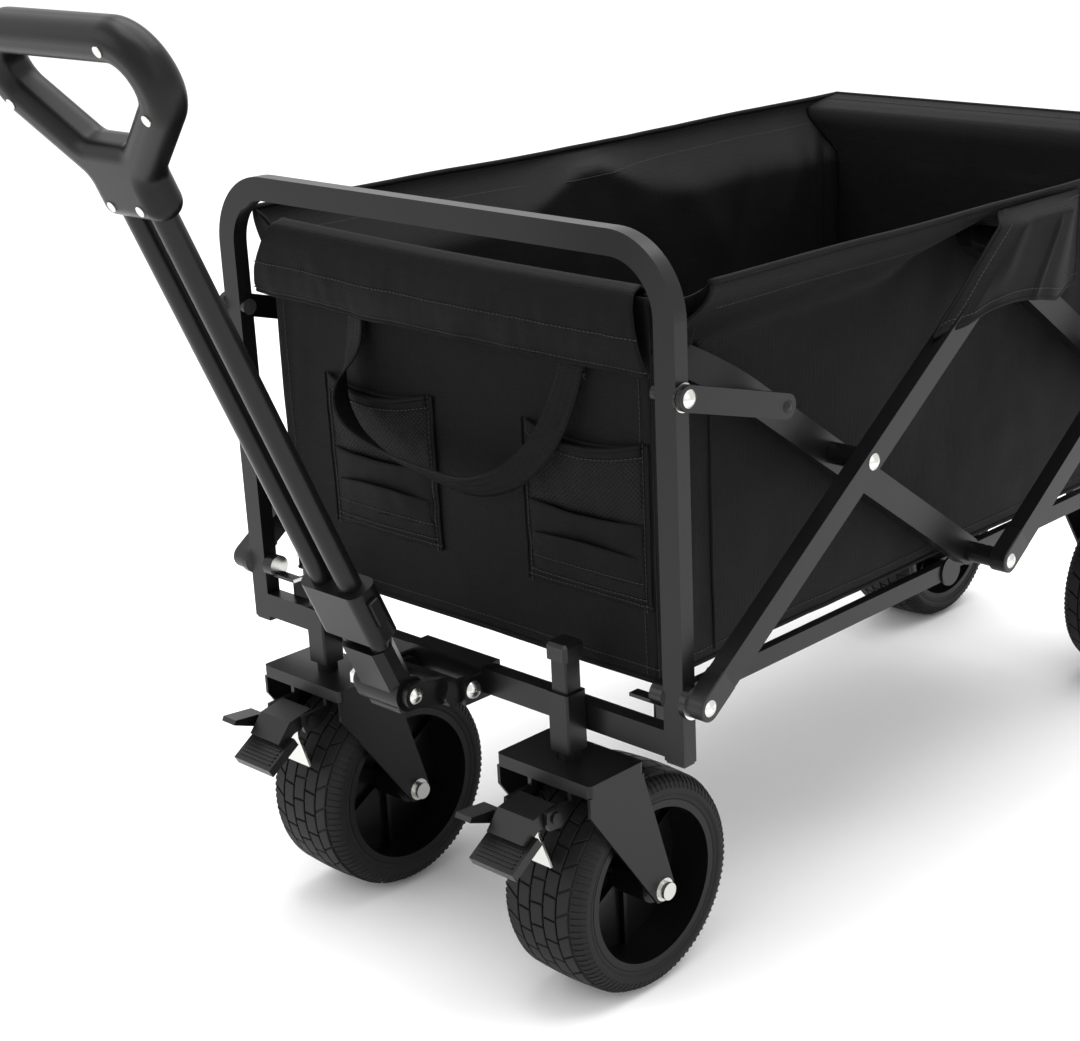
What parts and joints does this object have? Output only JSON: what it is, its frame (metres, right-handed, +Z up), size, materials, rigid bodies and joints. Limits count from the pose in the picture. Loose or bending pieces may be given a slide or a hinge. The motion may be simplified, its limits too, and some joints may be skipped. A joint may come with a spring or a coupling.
{
  "type": "folding camp wagon",
  "caption": "Folding camp wagon: a cloth basket on a scissor-folding steel frame, with swivelling front wheels, foot brakes and a telescoping pull handle.",
  "frame": {"origin": "centre of the bounding box in plan, at ground level under the wheels", "axes": "+X across the wagon, +Y from the pull handle towards the rear frame, +Z up"},
  "size_m": [0.5684, 1.3054, 0.8128],
  "materials": {
    "frame_steel": "satin black powder coat",
    "handle_tube": "satin black powder coat",
    "zinc_steel": "bright zinc plating",
    "tyre_rubber": "matt black rubber",
    "wheel_plastic": "satin moulded black",
    "brake_plastic": "fine moulded black",
    "cap_plastic": "satin moulded black",
    "grip_plastic": "fine textured moulded black",
    "canvas": "matt woven black",
    "webbing": "ribbed woven black"
  },
  "bodies": {
    "front_frame": {"front_frame": "frame_steel", "front_crossbar": "frame_steel", "front_posts": "frame_steel", "front_caps": "cap_plastic", "front_frame_bolts": "zinc_steel", "tow_mount": "frame_steel", "front_wall": "canvas", "front_pockets": "canvas", "carry_strap": "webbing", "basket_floor": "canvas", "side_wall_left": "canvas", "side_wall_right": "canvas"},
    "outer_front": {"outer_front_arms": "frame_steel", "outer_front_bolts": "zinc_steel"},
    "inner_front": {"inner_front_arm": "frame_steel", "inner_front_bolts": "zinc_steel"},
    "outer_rear": {"outer_rear_arms": "frame_steel", "outer_rear_bolts": "zinc_steel"},
    "inner_rear": {"inner_rear_arms": "frame_steel"},
    "rear_frame": {"rear_frame": "frame_steel", "rear_crossbar": "frame_steel", "rear_posts": "frame_steel", "rear_caps": "cap_plastic", "rear_frame_bolts": "zinc_steel", "rear_wall": "canvas", "rear_forks": "frame_steel"},
    "front_links": {"front_links": "frame_steel"},
    "rear_links": {"rear_links": "frame_steel"},
    "front_rails": {"front_rails": "frame_steel"},
    "rear_rails": {"rear_rails": "frame_steel"},
    "tow_bracket": {"tow_bracket": "frame_steel", "handle_pivot_bolt": "zinc_steel"},
    "handle_base": {"handle_yoke": "grip_plastic", "handle_inner_tubes": "handle_tube"},
    "handle_slide": {"handle_outer_tubes": "handle_tube", "handle_collar": "grip_plastic", "grip_front_shell": "grip_plastic", "grip_rear_shell": "grip_plastic", "grip_screws": "zinc_steel"},
    "release_left": {"release_button_left": "grip_plastic"},
    "release_right": {"release_button_right": "grip_plastic"},
    "caster_left": {"fork_left": "frame_steel", "axle_left": "zinc_steel", "brake_housing_left": "brake_plastic"},
    "brake_left": {"brake_pedal_left": "brake_plastic", "brake_shoe_left": "zinc_steel"},
    "wheel_front_left": {"tyre_front_left": "tyre_rubber", "rim_front_left": "wheel_plastic"},
    "wheel_rear_left": {"tyre_rear_left": "tyre_rubber", "rim_rear_left": "wheel_plastic"},
    "caster_right": {"fork_right": "frame_steel", "axle_right": "zinc_steel", "brake_housing_right": "brake_plastic"},
    "brake_right": {"brake_pedal_right": "brake_plastic", "brake_shoe_right": "zinc_steel"},
    "wheel_front_right": {"tyre_front_right": "tyre_rubber", "rim_front_right": "wheel_plastic"},
    "wheel_rear_right": {"tyre_rear_right": "tyre_rubber", "rim_rear_right": "wheel_plastic"}
  },
  "joints": [
    {"name": "fold", "type": "hinge", "parent": "front_frame", "child": "outer_front", "pos_m": [0, -0.32916, 0.29], "axis": [1, 0, 0], "range_deg": [0, 40], "deforming": ["side_wall_left", "side_wall_right", "basket_floor"]},
    {"name": "inner_front_turn", "type": "hinge", "parent": "outer_front", "child": "inner_front", "pos_m": [0, -0.12469, 0.43211], "axis": [1, 0, 0], "range_deg": [-80, 0]},
    {"name": "outer_rear_turn", "type": "hinge", "parent": "inner_front", "child": "outer_rear", "pos_m": [0, 0.07977, 0.29], "axis": [1, 0, 0], "range_deg": [0, 80]},
    {"name": "inner_rear_turn", "type": "hinge", "parent": "outer_rear", "child": "inner_rear", "pos_m": [0, 0.28424, 0.43211], "axis": [1, 0, 0], "range_deg": [-80, 0]},
    {"name": "rear_frame_turn", "type": "hinge", "parent": "inner_rear", "child": "rear_frame", "pos_m": [0, 0.48871, 0.29], "axis": [1, 0, 0], "range_deg": [0, 40]},
    {"name": "front_link_turn", "type": "hinge", "parent": "front_frame", "child": "front_links", "pos_m": [0, -0.32916, 0.52728], "axis": [1, 0, 0], "range_deg": [0, 87.62]},
    {"name": "rear_link_turn", "type": "hinge", "parent": "rear_frame", "child": "rear_links", "pos_m": [0, 0.48871, 0.52728], "axis": [1, 0, 0], "range_deg": [-87.62, 0]},
    {"name": "front_rail_turn", "type": "hinge", "parent": "front_frame", "child": "front_rails", "pos_m": [0, -0.29616, 0.267], "axis": [1, 0, 0], "range_deg": [0, 70]},
    {"name": "rear_rail_turn", "type": "hinge", "parent": "rear_frame", "child": "rear_rails", "pos_m": [0, 0.45571, 0.267], "axis": [1, 0, 0], "range_deg": [-70, 0]},
    {"name": "caster_swivel_left", "type": "hinge", "parent": "front_frame", "child": "caster_left", "pos_m": [-0.148, -0.34716, 0.222], "axis": [0, 0, 1], "continuous": true},
    {"name": "brake_press_left", "type": "hinge", "parent": "caster_left", "child": "brake_left", "pos_m": [-0.148, -0.38916, 0.188], "axis": [1, 0, 0], "range_deg": [0, 7]},
    {"name": "wheel_spin_front_left", "type": "hinge", "parent": "caster_left", "child": "wheel_front_left", "pos_m": [-0.148, -0.29716, 0.096], "axis": [1, 0, 0], "continuous": true},
    {"name": "wheel_spin_rear_left", "type": "hinge", "parent": "rear_frame", "child": "wheel_rear_left", "pos_m": [-0.148, 0.55671, 0.096], "axis": [1, 0, 0], "continuous": true},
    {"name": "caster_swivel_right", "type": "hinge", "parent": "front_frame", "child": "caster_right", "pos_m": [0.148, -0.34716, 0.222], "axis": [0, 0, 1], "continuous": true},
    {"name": "brake_press_right", "type": "hinge", "parent": "caster_right", "child": "brake_right", "pos_m": [0.148, -0.38916, 0.188], "axis": [1, 0, 0], "range_deg": [0, 7]},
    {"name": "wheel_spin_front_right", "type": "hinge", "parent": "caster_right", "child": "wheel_front_right", "pos_m": [0.148, -0.29716, 0.096], "axis": [1, 0, 0], "continuous": true},
    {"name": "wheel_spin_rear_right", "type": "hinge", "parent": "rear_frame", "child": "wheel_rear_right", "pos_m": [0.148, 0.55671, 0.096], "axis": [1, 0, 0], "continuous": true},
    {"name": "tow_drop", "type": "hinge", "parent": "front_frame", "child": "tow_bracket", "pos_m": [0, -0.35016, 0.249], "axis": [1, 0, 0], "range_deg": [0, 25]},
    {"name": "handle_tilt", "type": "hinge", "parent": "tow_bracket", "child": "handle_base", "pos_m": [0, -0.40216, 0.258], "axis": [1, 0, 0], "range_deg": [-23.5, 50]},
    {"name": "handle_extend", "type": "slide", "parent": "handle_base", "child": "handle_slide", "axis": [0, -0.3987, 0.9171], "range_m": [0, 0.3]},
    {"name": "release_press_left", "type": "slide", "parent": "handle_slide", "child": "release_left", "axis": [1, 0, 0], "range_m": [0, 0.0024], "stiffness_N_per_m": 400, "springref_m": -0.002},
    {"name": "release_press_right", "type": "slide", "parent": "handle_slide", "child": "release_right", "axis": [-1, 0, 0], "range_m": [0, 0.0024], "stiffness_N_per_m": 400, "springref_m": -0.002}
  ],
  "couplings": [
    {"joint": "inner_front_turn", "follows": "fold", "ratio": -2},
    {"joint": "outer_rear_turn", "follows": "fold", "ratio": 2},
    {"joint": "inner_rear_turn", "follows": "fold", "ratio": -2},
    {"joint": "rear_frame_turn", "follows": "fold", "ratio": 1},
    {"joint": "front_link_turn", "follows": "fold", "ratio": 2.1902},
    {"joint": "rear_link_turn", "follows": "fold", "ratio": -2.1902},
    {"joint": "front_rail_turn", "follows": "fold", "ratio": 1.75},
    {"joint": "rear_rail_turn", "follows": "fold", "ratio": -1.75}
  ]
}
